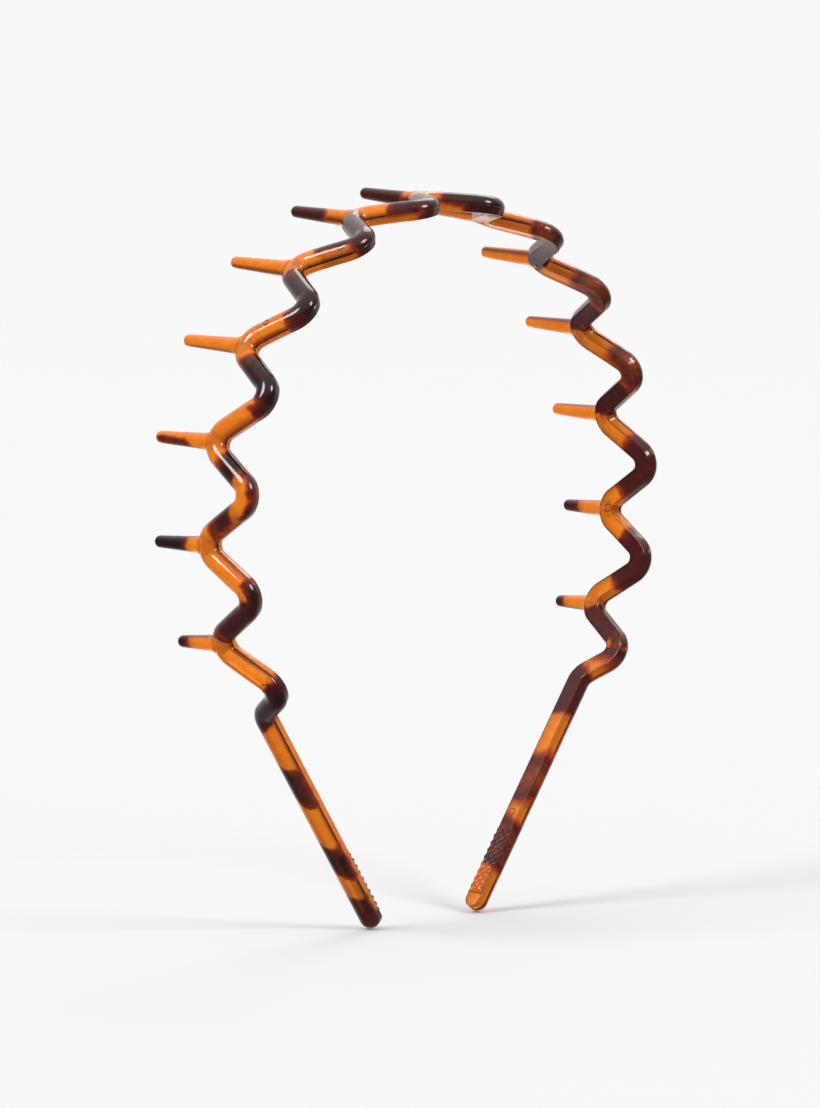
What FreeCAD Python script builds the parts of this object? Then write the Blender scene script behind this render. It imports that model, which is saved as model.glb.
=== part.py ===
"""Zigzag comb headband: a springy hoop of bent runs with a comb tooth at every second bend.

The real headband is one moulding.  Here it is split where it flexes and where one
moulded feature ends and the next begins, so that every feature is a piece of its own:

    runs    the slanted stretches between two bends, 13 on each side of the crown;
            at four plain bends on each side a slit stands for the plastic that flexes
    teeth   one on the crown and six on each side, on the bends that face +Y
    arms    the straight ends behind the ears, each with its last bend
    grips   the bumpy patches inside the arms' ends

Frame: X across the head, +Y the way the teeth point, +Z up.  The origin lies on the
inner face of the crown, where the headband rests on the head.  Left is -X.

Bends are counted from the crown along one side: bend 0 is the crown tooth's own bend,
odd bends are plain and face -Y, even bends carry teeth and face +Y.  A piece is drawn
in a frame of its own: x along the hoop, y across the zigzag, z out from the head.
"""
import FreeCAD, Part

import math
import os
import re

import Sketcher

SIDES = {"left": -1, "right": 1}
TOOTH_NAMES = ["crown", "first", "second", "third", "fourth", "fifth", "sixth"]
TEETH_PER_SIDE = len(TOOTH_NAMES) - 1
RUNS_PER_SIDE = 2 * TEETH_PER_SIDE + 1
FLEXING_BENDS = (1, 5, 9, 13)

DRIVING_SIZES = [
    # alias, value in mm or degrees, what it is
    ("arch_radius", 59.0, "arch radius at the middle of the section"),
    ("tail_angle", 4.95, "angle of arch from the last plain bend to the arm"),
    ("zigzag_depth", 9.0, "distance across the zigzag, between section middles"),
    ("bend_radius", 3.2, "radius of every bend at the middle of the section"),
    ("band_width", 4.2, "width of the section, across the zigzag"),
    ("band_thickness", 3.6, "thickness of the section, out from the head"),
    ("dome_radius", 1.6, "rounding of the outer edges"),
    ("edge_break", 0.35, "rounding of the edges of the inner face"),
    ("flex_gap", 0.3, "slit between rigid pieces at a bend that flexes"),
    ("seat_depth", 0.35, "flat cut into a bend for the root of its tooth"),
    ("seat_reach", 2.4, "half length of that flat"),
    ("tooth_root_radius", 1.6, "tooth radius at the root"),
    ("tooth_tip_radius", 1.15, "radius of the tooth's rounded tip"),
    ("tooth_tilt", 4.0, "angle at which the teeth lean out from the head"),
    ("crown_tooth_length", 13.8, "tooth length at bend 0"),
    ("first_tooth_length", 14.3, "tooth length at bend 2"),
    ("second_tooth_length", 13.9, "tooth length at bend 4"),
    ("third_tooth_length", 13.4, "tooth length at bend 6"),
    ("fourth_tooth_length", 12.7, "tooth length at bend 8"),
    ("fifth_tooth_length", 11.0, "tooth length at bend 10"),
    ("sixth_tooth_length", 9.0, "tooth length at bend 12"),
    ("arm_lean", 36.5, "angle of the arms from upright, leaning in"),
    ("arm_length", 55.0, "arm from the end of the arch to its rounded tip"),
    ("arm_step", 7.8, "from the last plain bend to the start of the straight arm"),
    ("arm_line", 1.5, "y of the straight arm's middle"),
    ("grip_length", 14.4, "length of the bumpy patch"),
    ("grip_width", 3.2, "width of the bumpy patch"),
    ("grip_setback", 2.9, "from the arm's tip to the patch"),
    ("grip_skin", 0.12, "height of the patch under its bumps"),
    ("bump_rise", 0.25, "height of a bump"),
    ("bump_slope", 50.0, "slope of a bump's sides, from upright"),
    ("overrun", 0.4, "how far an outline runs past the end that is cut from it"),
    ("cut_margin", 4.0, "clearance of the cutting outlines round a piece"),
]
BUMP_ROWS = 9
BUMP_FILES = 2

WORKED_OUT_SIZES = [
    # alias, formula
    ("bend_step", "(90 + arm_lean - tail_angle) / %d" % RUNS_PER_SIDE),
    ("outer_bend", "bend_radius + band_width / 2"),
    ("inner_bend", "bend_radius - band_width / 2"),
    ("half_section", "band_thickness / 2"),
    ("outer_face", "arch_radius + half_section"),
    ("inner_face", "arch_radius - half_section"),
    ("outer_slit", "asin(flex_gap / 2 / outer_face) / 1 deg"),
    ("inner_slit", "asin(flex_gap / 2 / inner_face) / 1 deg"),
    ("bend_x", "arch_radius * sin(bend_step / 2)"),
    ("bend_y", "zigzag_depth / 2 - bend_radius"),
    ("run_reach", "sqrt(bend_x ^ 2 + bend_y ^ 2)"),
    ("run_slope", "(atan(bend_y / bend_x) + asin(bend_radius / run_reach)) / 1 deg"),
    ("seat_y", "zigzag_depth / 2 + band_width / 2 - seat_depth"),
    ("tail_x", "arch_radius * sin(tail_angle)"),
    ("arm_bend_x", "arm_step - tail_x"),
    ("arm_bend_y", "arm_line - bend_radius"),
    ("arm_rise", "arm_bend_y + bend_y"),
    ("arm_reach", "sqrt(arm_step ^ 2 + arm_rise ^ 2)"),
    ("arm_slope", "(atan(arm_rise / arm_step) + asin(2 * bend_radius / arm_reach)) / 1 deg"),
    ("tip_x", "arm_length - band_width / 2"),
    ("grip_end", "arm_length - grip_setback"),
    ("grip_start", "grip_end - grip_length"),
    ("bump_length", "grip_length / %d" % BUMP_ROWS),
    ("bump_width", "grip_width / %d" % BUMP_FILES),
]
ALIAS_WORD = re.compile(r"\b(%s)\b" % "|".join(row[0] for row in DRIVING_SIZES + WORKED_OUT_SIZES))


class Sizes:
    """The sheet of sizes: driving values first, then what is worked out from them."""

    def __init__(self, doc):
        self.sheet = doc.addObject("Spreadsheet::Sheet", "sizes")
        rows = [(alias, str(value), note) for alias, value, note in DRIVING_SIZES]
        rows += [(alias, "=" + formula, "worked out") for alias, formula in WORKED_OUT_SIZES]
        for row, (alias, text, note) in enumerate(rows, start=1):
            self.sheet.set("A%d" % row, note)
            self.sheet.set("B%d" % row, text)
            self.sheet.setAlias("B%d" % row, alias)
        doc.recompute()

    def __getattr__(self, alias):
        value = getattr(self.sheet, alias)
        return float(getattr(value, "Value", value))


def bind(thing, target, formula):
    """Bind a property or a named constraint to a formula in the sheet's aliases."""
    thing.setExpression(target, ALIAS_WORD.sub(r"sizes.\1", formula))


def polar(centre, radius, angle):
    """Return the point at a distance and an angle, in degrees, from a centre."""
    turn = math.radians(angle)
    return (centre[0] + radius * math.cos(turn), centre[1] + radius * math.sin(turn))


class Outline:
    """A sketch on one of a body's own planes, drawn first and then constrained.

    hand is 1 or -1: with -1 everything is mirrored in the sketch's x.
    """

    def __init__(self, body, name, role, hand=1):
        self.hand = hand
        self.sketch = body.newObject("Sketcher::SketchObject", name)
        planes = [feature for feature in body.Origin.OriginFeatures if feature.Role == role]
        self.sketch.AttachmentSupport = [(planes[0], "")]
        self.sketch.MapMode = "FlatFace"

    def line(self, start, end):
        """Add a line and return its number."""
        points = [FreeCAD.Vector(self.hand * x, y, 0) for x, y in (start, end)]
        return self.sketch.addGeometry(Part.LineSegment(*points), False)

    def arc(self, centre, radius, start, end):
        """Add an arc that turns from one angle up to another; return its number."""
        if self.hand < 0:
            start, end = 180 - end, 180 - start
        middle = FreeCAD.Vector(self.hand * centre[0], centre[1], 0)
        circle = Part.Circle(middle, FreeCAD.Vector(0, 0, 1), radius)
        turned = Part.ArcOfCircle(circle, math.radians(start), math.radians(end))
        return self.sketch.addGeometry(turned, False)

    def fix(self, kind, *numbers):
        """Add a constraint that has no size."""
        self.sketch.addConstraint(Sketcher.Constraint(kind, *numbers))

    def size(self, kind, numbers, now, formula):
        """Add a constraint with a size and bind the size to a formula."""
        number = self.sketch.addConstraint(Sketcher.Constraint(kind, *numbers, now))
        name = "size_%d" % number
        self.sketch.renameConstraint(number, name)
        bind(self.sketch, "Constraints." + name, formula)

    def radius(self, arc, formula):
        """Fix the radius of an arc."""
        self.size("Radius", (arc,), self.sketch.Geometry[arc].Radius, formula)

    def place(self, number, point, x=None, y=None):
        """Fix a point of a line or an arc (1 start, 2 end, 3 centre) at x, y or both."""
        now = self.sketch.getPoint(number, point)
        if x is not None:
            text = "-(%s)" % x if self.hand < 0 else x
            self.size("DistanceX", (-1, 1, number, point), now.x, text)
        if y is not None:
            self.size("DistanceY", (-1, 1, number, point), now.y, y)

    def close(self, numbers):
        """Join the pieces of an outline: smooth where one runs on into the next."""
        for i, first in enumerate(numbers):
            for second in numbers[i + 1:]:
                for end in (1, 2):
                    for other in (1, 2):
                        self.join(first, end, second, other)

    def join(self, first, end, second, other):
        """Join two ends if they meet."""
        gap = self.sketch.getPoint(first, end) - self.sketch.getPoint(second, other)
        if gap.Length > 1e-4:
            return
        ways = []
        for number, point in ((first, end), (second, other)):
            curve = self.sketch.Geometry[number]
            spot = curve.FirstParameter if point == 1 else curve.LastParameter
            ways.append(curve.tangent(spot)[0])
        smooth = abs(ways[0].dot(ways[1])) > 1 - 1e-9
        self.fix("Tangent" if smooth else "Coincident", first, end, second, other)

    def box(self, left, low, right, high):
        """Add a rectangle whose sides are bound to formulas."""
        corners = [(0, 0), (1, 0), (1, 1), (0, 1)]
        sides = [self.line(a, b) for a, b in zip(corners, corners[1:] + corners[:1])]
        self.close(sides)
        for side, kind in zip(sides, ("Horizontal", "Vertical", "Horizontal", "Vertical")):
            self.fix(kind, side)
        self.place(sides[0], 1, left, low)
        self.place(sides[2], 1, right, high)


class Feature:
    """Shorthand for the solid features of one body."""

    def __init__(self, body):
        self.body = body

    def pad(self, outline, length, symmetric=True):
        """Raise an outline by a bound length."""
        feature = self.body.newObject("PartDesign::Pad", "raised")
        feature.Profile = outline.sketch
        feature.SideType = "Symmetric" if symmetric else "One side"
        bind(feature, "Length", length)
        return feature

    def pocket(self, outline):
        """Cut an outline right through, both ways."""
        feature = self.body.newObject("PartDesign::Pocket", "cut")
        feature.Profile = outline.sketch
        feature.SideType = "Symmetric"
        feature.Type = "ThroughAll"
        return feature

    def round(self, base, edges, radius):
        """Round the named edges of a feature."""
        feature = self.body.newObject("PartDesign::Fillet", "rounding")
        feature.Base = (base, edges)
        bind(feature, "Radius", radius)
        return feature


def edge_names(shape, height, wanted):
    """Name the edges that keep to one height along the hoop and aren't at an end of it."""
    names = []
    for number, edge in enumerate(shape.Edges, start=1):
        first, last = edge.ParameterRange
        points = [edge.valueAt(first + (last - first) * i / 4) for i in range(5)]
        spread = max(p.x for p in points) - min(p.x for p in points)
        if spread > 0.05 and all(abs(height(p) - wanted) < 1e-3 for p in points):
            names.append("Edge%d" % number)
    return names


def arch_height(sizes, hand=0):
    """Return a function for a point's height from the middle of the section.

    Past x = 0 on the side that hand gives, the hoop runs straight.
    """
    def height(point):
        if hand and hand * point.x > 0:
            return point.z
        return math.hypot(point.x, point.z + sizes.arch_radius) - sizes.arch_radius
    return height


def turn_about_hoop(body, angle, radius="arch_radius", y="0"):
    """Place a body at an angle round the arch, its z pointing out from the head."""
    body.Placement = FreeCAD.Placement(FreeCAD.Vector(), FreeCAD.Rotation(FreeCAD.Vector(0, 1, 0), 1))
    bind(body, "Placement.Rotation.Angle", angle)
    bind(body, "Placement.Base.x", "(%s) * sin(%s)" % (radius, angle))
    bind(body, "Placement.Base.y", y)
    bind(body, "Placement.Base.z", "(%s) * cos(%s) - inner_face" % (radius, angle))


def new_body(doc, label):
    """Add an empty body with its own label."""
    body = doc.addObject("PartDesign::Body", label)
    body.Label = label
    return body


def finish_band(doc, sizes, features, base, height):
    """Round the outer edges of a stretch of band and ease its inner ones."""
    doc.recompute()
    inner = edge_names(base.Shape, height, -sizes.half_section)
    eased = features.round(base, inner, "edge_break")
    doc.recompute()
    outer = edge_names(eased.Shape, height, sizes.half_section)
    return features.round(eased, outer, "dome_radius")


def draw_run(body, sizes, hand):
    """Draw the plan of a run: tooth bend at -x, plain bend at +x, before mirroring."""
    plan = Outline(body, "plan", "XY_Plane", hand)
    slope, big, small = sizes.run_slope, sizes.outer_bend, sizes.inner_bend
    cap = [math.degrees(math.asin(sizes.overrun / r)) for r in (big, small)]
    tooth_bend, plain_bend = (-sizes.bend_x, sizes.bend_y), (sizes.bend_x, -sizes.bend_y)
    arcs = [
        plan.arc(tooth_bend, big, 90 - slope, 90 + cap[0]),
        plan.arc(tooth_bend, small, 90 - slope, 90 + cap[1]),
        plan.arc(plain_bend, big, 270 - slope, 270 + cap[0]),
        plan.arc(plain_bend, small, 270 - slope, 270 + cap[1]),
    ]
    walls = [
        plan.line(polar(tooth_bend, big, 90 - slope), polar(plain_bend, small, 270 - slope)),
        plan.line(polar(tooth_bend, small, 90 - slope), polar(plain_bend, big, 270 - slope)),
    ]
    caps = [
        plan.line(polar(tooth_bend, big, 90 + cap[0]), polar(tooth_bend, small, 90 + cap[1])),
        plan.line(polar(plain_bend, big, 270 + cap[0]), polar(plain_bend, small, 270 + cap[1])),
    ]
    plan.close(arcs + walls + caps)
    for arc, x, y in ((0, "-bend_x", "bend_y"), (1, "-bend_x", "bend_y"),
                      (2, "bend_x", "-bend_y"), (3, "bend_x", "-bend_y")):
        plan.place(arcs[arc], 3, x, y)
        plan.radius(arcs[arc], "inner_bend" if arc % 2 else "outer_bend")
    for end, x in zip(caps, ("-bend_x - overrun", "bend_x + overrun")):
        plan.fix("Vertical", end)
        plan.place(end, 1, x)
    return plan


def draw_arch_cut(body, sizes, hand, flexes):
    """Draw the side view that is kept of a run, inside a rectangle that is cut away.

    A run whose plain bend flexes stops half a slit short of the middle of that bend.
    """
    side = Outline(body, "side", "XZ_Plane", hand)
    centre, half = (0, -sizes.arch_radius), sizes.bend_step / 2
    radii = (sizes.outer_face, sizes.inner_face)
    slits = (sizes.outer_slit, sizes.inner_slit) if flexes else (0, 0)
    arcs = [side.arc(centre, r, 90 - half + slit, 90 + half) for r, slit in zip(radii, slits)]
    ends = [
        side.line(*[polar(centre, r, 90 - half + slit) for r, slit in zip(radii, slits)]),
        side.line(*[polar(centre, r, 90 + half) for r in radii]),
    ]
    side.close(arcs + ends)
    for point, (arc, face) in enumerate(zip(arcs, ("outer", "inner")), start=1):
        back = " - %s_slit" % face if flexes else ""
        side.place(arc, 3, "0 * arch_radius", "-arch_radius")
        side.radius(arc, face + "_face")
        side.place(ends[0], point, "%s_face * sin(bend_step / 2%s)" % (face, back))
        side.place(ends[1], point, "-%s_face * sin(bend_step / 2)" % face)
    side.box("-bend_x - cut_margin", "-half_section - cut_margin",
             "bend_x + cut_margin", "half_section + cut_margin")
    return side


def make_run(doc, sizes, side, number):
    """Make the run from one bend to the next, with half of each bend."""
    body = new_body(doc, "%s_run_%02d" % (side, number))
    starts_at_tooth = number % 2 == 1
    plain_bend = number if starts_at_tooth else number - 1
    hand = SIDES[side] if starts_at_tooth else -SIDES[side]
    features = Feature(body)
    features.pad(draw_run(body, sizes, hand), "2 * cut_margin")
    base = features.pocket(draw_arch_cut(body, sizes, hand, plain_bend in FLEXING_BENDS))
    finish_band(doc, sizes, features, base, arch_height(sizes))
    seat = Outline(body, "tooth_seat", "XY_Plane", hand)
    seat.box("-bend_x - cut_margin", "seat_y", "-bend_x + seat_reach", "seat_y + cut_margin")
    features.pocket(seat)
    turn_about_hoop(body, "%d * %s * bend_step" % (SIDES[side], number - 0.5))
    return body


def make_tooth(doc, sizes, label, name, bend):
    """Make a tapering round tooth that stands on the flat of its bend."""
    body = new_body(doc, label)
    length, sink = getattr(sizes, name), 2 * sizes.overrun
    root, tip = sizes.tooth_root_radius, sizes.tooth_tip_radius
    half = Outline(body, "profile", "YZ_Plane")
    half.sketch.AttachmentOffset = FreeCAD.Placement(FreeCAD.Vector(), FreeCAD.Rotation(1, 0, 0))
    bind(half.sketch, "AttachmentOffset.Rotation.Angle", "tooth_tilt")
    centre = (length - tip, 0)
    base = half.line((-sink, 0), (-sink, root))
    flank = half.line((-sink, root), polar(centre, tip, 87))
    cap = half.arc(centre, tip, 0, 87)
    axis = half.line((length, 0), (-sink, 0))
    half.close([base, flank, cap, axis])
    half.fix("Tangent", flank, cap)
    half.fix("Vertical", base)
    half.fix("Horizontal", axis)
    half.place(base, 1, "-2 * overrun", "0 * overrun")
    half.place(base, 2, None, "tooth_root_radius")
    half.place(cap, 3, "%s - tooth_tip_radius" % name, "0 * overrun")
    half.radius(cap, "tooth_tip_radius")
    turned = body.newObject("PartDesign::Revolution", "turned")
    turned.Profile = half.sketch
    turned.ReferenceAxis = (half.sketch, ["H_Axis"])
    under = Outline(body, "root_cut", "YZ_Plane")
    under.box("-cut_margin", "-cut_margin", "0 * cut_margin", "cut_margin")
    Feature(body).pocket(under)
    turn_about_hoop(body, "%d * bend_step" % bend, y="seat_y")
    return body


def draw_arm(body, sizes, hand):
    """Draw the plan of an arm: half a plain bend, a short rise, a bend, a straight, a tip."""
    plan = Outline(body, "plan", "XY_Plane", hand)
    slope, big, small = sizes.arm_slope, sizes.outer_bend, sizes.inner_bend
    cap = [math.degrees(math.asin(sizes.overrun / r)) for r in (big, small)]
    plain_bend = (-sizes.tail_x, -sizes.bend_y)
    arm_bend = (sizes.arm_bend_x, sizes.arm_bend_y)
    half, tip = sizes.band_width / 2, (sizes.tip_x, sizes.arm_line)
    arcs = [
        plan.arc(plain_bend, big, 270 - cap[0], 270 + slope),
        plan.arc(plain_bend, small, 270 - cap[1], 270 + slope),
        plan.arc(arm_bend, big, 90, 90 + slope),
        plan.arc(arm_bend, small, 90, 90 + slope),
        plan.arc(tip, half, -90, 90),
    ]
    walls = [
        plan.line(polar(plain_bend, big, 270 + slope), polar(arm_bend, small, 90 + slope)),
        plan.line(polar(plain_bend, small, 270 + slope), polar(arm_bend, big, 90 + slope)),
        plan.line(polar(arm_bend, big, 90), polar(tip, half, 90)),
        plan.line(polar(arm_bend, small, 90), polar(tip, half, -90)),
    ]
    end = plan.line(polar(plain_bend, big, 270 - cap[0]), polar(plain_bend, small, 270 - cap[1]))
    plan.close(arcs + walls + [end])
    spots = [("-tail_x", "-bend_y"), ("-tail_x", "-bend_y"), ("arm_bend_x", "arm_bend_y"),
             ("arm_bend_x", "arm_bend_y")]
    for number, (x, y) in enumerate(spots):
        plan.place(arcs[number], 3, x, y)
        plan.radius(arcs[number], "inner_bend" if number % 2 else "outer_bend")
    plan.place(arcs[4], 3, "tip_x")
    plan.fix("Horizontal", walls[2])
    plan.fix("Horizontal", walls[3])
    plan.fix("Vertical", end)
    plan.place(end, 1, "-tail_x - overrun")
    return plan


def draw_arm_cut(body, sizes, hand):
    """Draw the side view that is kept of an arm, inside a rectangle that is cut away."""
    side = Outline(body, "side", "XZ_Plane", hand)
    centre, tail, half = (0, -sizes.arch_radius), sizes.tail_angle, sizes.half_section
    far = sizes.arm_length + sizes.cut_margin / 2
    arcs = [side.arc(centre, sizes.outer_face, 90, 90 + tail - sizes.outer_slit),
            side.arc(centre, sizes.inner_face, 90, 90 + tail - sizes.inner_slit)]
    end = side.line(polar(centre, sizes.outer_face, 90 + tail - sizes.outer_slit),
                    polar(centre, sizes.inner_face, 90 + tail - sizes.inner_slit))
    faces = [side.line((0, half), (far, half)), side.line((0, -half), (far, -half))]
    past = side.line((far, half), (far, -half))
    side.close(arcs + [end] + faces + [past])
    for arc, face in zip(arcs, ("outer", "inner")):
        side.place(arc, 3, "0 * arch_radius", "-arch_radius")
        side.radius(arc, face + "_face")
    for point, face in ((1, "outer"), (2, "inner")):
        side.place(end, point, "-%s_face * sin(tail_angle - %s_slit)" % (face, face))
    side.fix("Vertical", past)
    side.fix("Horizontal", faces[0])
    side.fix("Horizontal", faces[1])
    side.place(past, 1, "arm_length + cut_margin / 2")
    side.box("-tail_x - cut_margin", "-half_section - cut_margin",
             "arm_length + cut_margin", "half_section + cut_margin")
    return side


def turn_to_arm(body, side):
    """Place a body in the frame of an arm: at the end of the arch, x along the hoop."""
    turn_about_hoop(body, "%d * (90 + arm_lean)" % SIDES[side])


def make_arm(doc, sizes, side):
    """Make one arm with its half of the last plain bend."""
    body = new_body(doc, side + "_arm")
    hand = SIDES[side]
    features = Feature(body)
    features.pad(draw_arm(body, sizes, hand), "2 * cut_margin")
    base = features.pocket(draw_arm_cut(body, sizes, hand))
    finish_band(doc, sizes, features, base, arch_height(sizes, hand))
    turn_to_arm(body, side)
    return body


def make_grip(doc, sizes, side):
    """Make the patch of pointed bumps on the inner face, near the tip of an arm."""
    body = new_body(doc, side + "_grip")
    hand = SIDES[side]
    features = Feature(body)
    patch = Outline(body, "patch", "XY_Plane", hand)
    patch.box("grip_start", "arm_line - grip_width / 2", "grip_end", "arm_line + grip_width / 2")
    bind(patch.sketch, "AttachmentOffset.Base.z", "-half_section")
    skin = features.pad(patch, "grip_skin", symmetric=False)
    skin.Reversed = True
    bump = Outline(body, "bump", "XY_Plane", hand)
    corners = [(0, 1), (1, 0), (2, 1), (1, 2)]
    sides = [bump.line(a, b) for a, b in zip(corners, corners[1:] + corners[:1])]
    bump.close(sides)
    bump.place(sides[0], 1, "grip_start", "arm_line - grip_width / 2 + bump_width / 2")
    bump.place(sides[1], 1, "grip_start + bump_length / 2", "arm_line - grip_width / 2")
    bump.place(sides[2], 1, "grip_start + bump_length", "arm_line - grip_width / 2 + bump_width / 2")
    bump.place(sides[3], 1, "grip_start + bump_length / 2", "arm_line - grip_width / 2 + bump_width")
    bind(bump.sketch, "AttachmentOffset.Base.z", "-half_section - grip_skin")
    point = features.pad(bump, "bump_rise", symmetric=False)
    point.Reversed = True
    bind(point, "TaperAngle", "-bump_slope")
    rows = body.newObject("PartDesign::LinearPattern", "rows")
    rows.Originals = [point]
    rows.Direction = (bump.sketch, ["H_Axis"])
    rows.Reversed = hand < 0
    rows.Occurrences = BUMP_ROWS
    bind(rows, "Length", "bump_length * %d" % (BUMP_ROWS - 1))
    rows.Direction2 = (bump.sketch, ["V_Axis"])
    rows.Occurrences2 = BUMP_FILES
    bind(rows, "Length2", "bump_width * %d" % (BUMP_FILES - 1))
    body.Tip = rows
    turn_to_arm(body, side)
    return body


def check(doc, bodies):
    """Stop if any object failed or any piece isn't one valid solid."""
    for thing in doc.Objects:
        if "Invalid" in thing.State or "Error" in thing.State:
            raise RuntimeError("%s failed: %s" % (thing.Name, thing.State))
    for body in bodies:
        shape = body.Shape
        if shape.isNull() or not shape.isValid() or len(shape.Solids) != 1:
            raise RuntimeError("%s is not one valid solid" % body.Label)


def main():
    """Build every piece and write each one to its own file."""
    doc = FreeCAD.newDocument("zigzag_headband")
    sizes = Sizes(doc)
    bodies = [make_tooth(doc, sizes, "crown_tooth", "crown_tooth_length", 0)]
    for side, hand in SIDES.items():
        for number in range(1, RUNS_PER_SIDE + 1):
            bodies.append(make_run(doc, sizes, side, number))
        for tooth in range(1, TEETH_PER_SIDE + 1):
            label = "%s_tooth_%d" % (side, tooth)
            length = TOOTH_NAMES[tooth] + "_tooth_length"
            bodies.append(make_tooth(doc, sizes, label, length, hand * 2 * tooth))
        bodies.append(make_arm(doc, sizes, side))
        bodies.append(make_grip(doc, sizes, side))
    doc.recompute()
    check(doc, bodies)
    os.makedirs("parts", exist_ok=True)
    for body in bodies:
        body.Shape.exportStep(os.path.join("parts", body.Label + ".step"))


main()
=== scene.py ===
"""Looks of a zigzag comb headband moulded in tortoiseshell plastic.

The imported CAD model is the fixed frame.  Every run, tooth, arm and grip of it is
stood for by a finer mesh here, with the same name and a word for what it is:

    band    a run from one bend to the next, or a whole arm, with a domed outer face,
            slightly drafted inner walls, a flat inner face and a moulding line
    peg     a tapering comb tooth that flares into its bend
    knurl   the patch of small pyramids inside an arm's end

A few runs and one arm also carry the small rings that ejector pins leave.

Lengths in the classes are in millimetres, and angles in degrees; mesh points leave
in metres.  Along a side, places are counted in bends from the crown: bend 0 carries
the crown tooth, odd bends are plain and face -Y, even ones carry teeth and face +Y.
"""
import logging
import math
from collections.abc import Callable
from dataclasses import dataclass, field
from enum import Enum

import bpy
from mathutils import Matrix, Vector


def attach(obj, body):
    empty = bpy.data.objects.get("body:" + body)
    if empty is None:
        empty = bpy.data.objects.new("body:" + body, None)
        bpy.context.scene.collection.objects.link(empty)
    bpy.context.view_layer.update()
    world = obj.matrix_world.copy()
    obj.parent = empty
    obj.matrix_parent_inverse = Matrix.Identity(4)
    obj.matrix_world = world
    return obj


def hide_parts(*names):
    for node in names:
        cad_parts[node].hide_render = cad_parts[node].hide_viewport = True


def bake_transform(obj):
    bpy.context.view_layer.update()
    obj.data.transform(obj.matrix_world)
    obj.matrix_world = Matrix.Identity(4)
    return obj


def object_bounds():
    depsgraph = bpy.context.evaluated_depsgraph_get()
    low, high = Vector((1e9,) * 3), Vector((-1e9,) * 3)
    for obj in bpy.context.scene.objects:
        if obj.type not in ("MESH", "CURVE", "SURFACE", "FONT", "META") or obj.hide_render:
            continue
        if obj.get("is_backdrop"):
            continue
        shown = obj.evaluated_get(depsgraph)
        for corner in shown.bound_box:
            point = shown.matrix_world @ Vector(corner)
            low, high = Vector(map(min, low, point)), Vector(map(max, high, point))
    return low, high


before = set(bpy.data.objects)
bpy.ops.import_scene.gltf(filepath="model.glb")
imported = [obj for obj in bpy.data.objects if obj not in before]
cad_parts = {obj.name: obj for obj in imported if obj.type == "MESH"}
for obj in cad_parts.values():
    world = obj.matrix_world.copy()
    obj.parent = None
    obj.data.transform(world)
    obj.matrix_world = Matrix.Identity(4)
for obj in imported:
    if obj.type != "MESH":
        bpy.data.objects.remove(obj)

LOG = logging.getLogger("headband")
MM = 0.001
OUT_OF_PATCH = -5.0
HALF_WIDTH = 2.1
SIDE_STEEPNESS = 1.2
LEVEL_OVERLAP = 0.2
TIP_STEPS = 8
TIP_TURN = 88
CROWN_LENGTH = 13.8

Point2 = tuple[float, float]
Point3 = tuple[float, float, float]

SQUARE: Point2 = (0.0, 1.0)


class Side(Enum):
    """The two sides of the hoop, by the sign of their X."""

    LEFT = -1
    RIGHT = 1

    @property
    def word(self) -> str:
        """Return the side's name as the CAD nodes have it."""
        return self.name.lower()


class Look(Enum):
    """Which finish a mesh is dressed in."""

    SHELL = "tortoiseshell_plastic"
    FLOOR = "pale_floor"


def tip_turns() -> list[Point2]:
    """Return the sine and cosine of each step round a rounded tip."""
    angles = [math.radians(TIP_TURN * i / TIP_STEPS) for i in range(TIP_STEPS + 1)]
    return [(math.sin(a), math.cos(a)) for a in angles]


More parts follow.
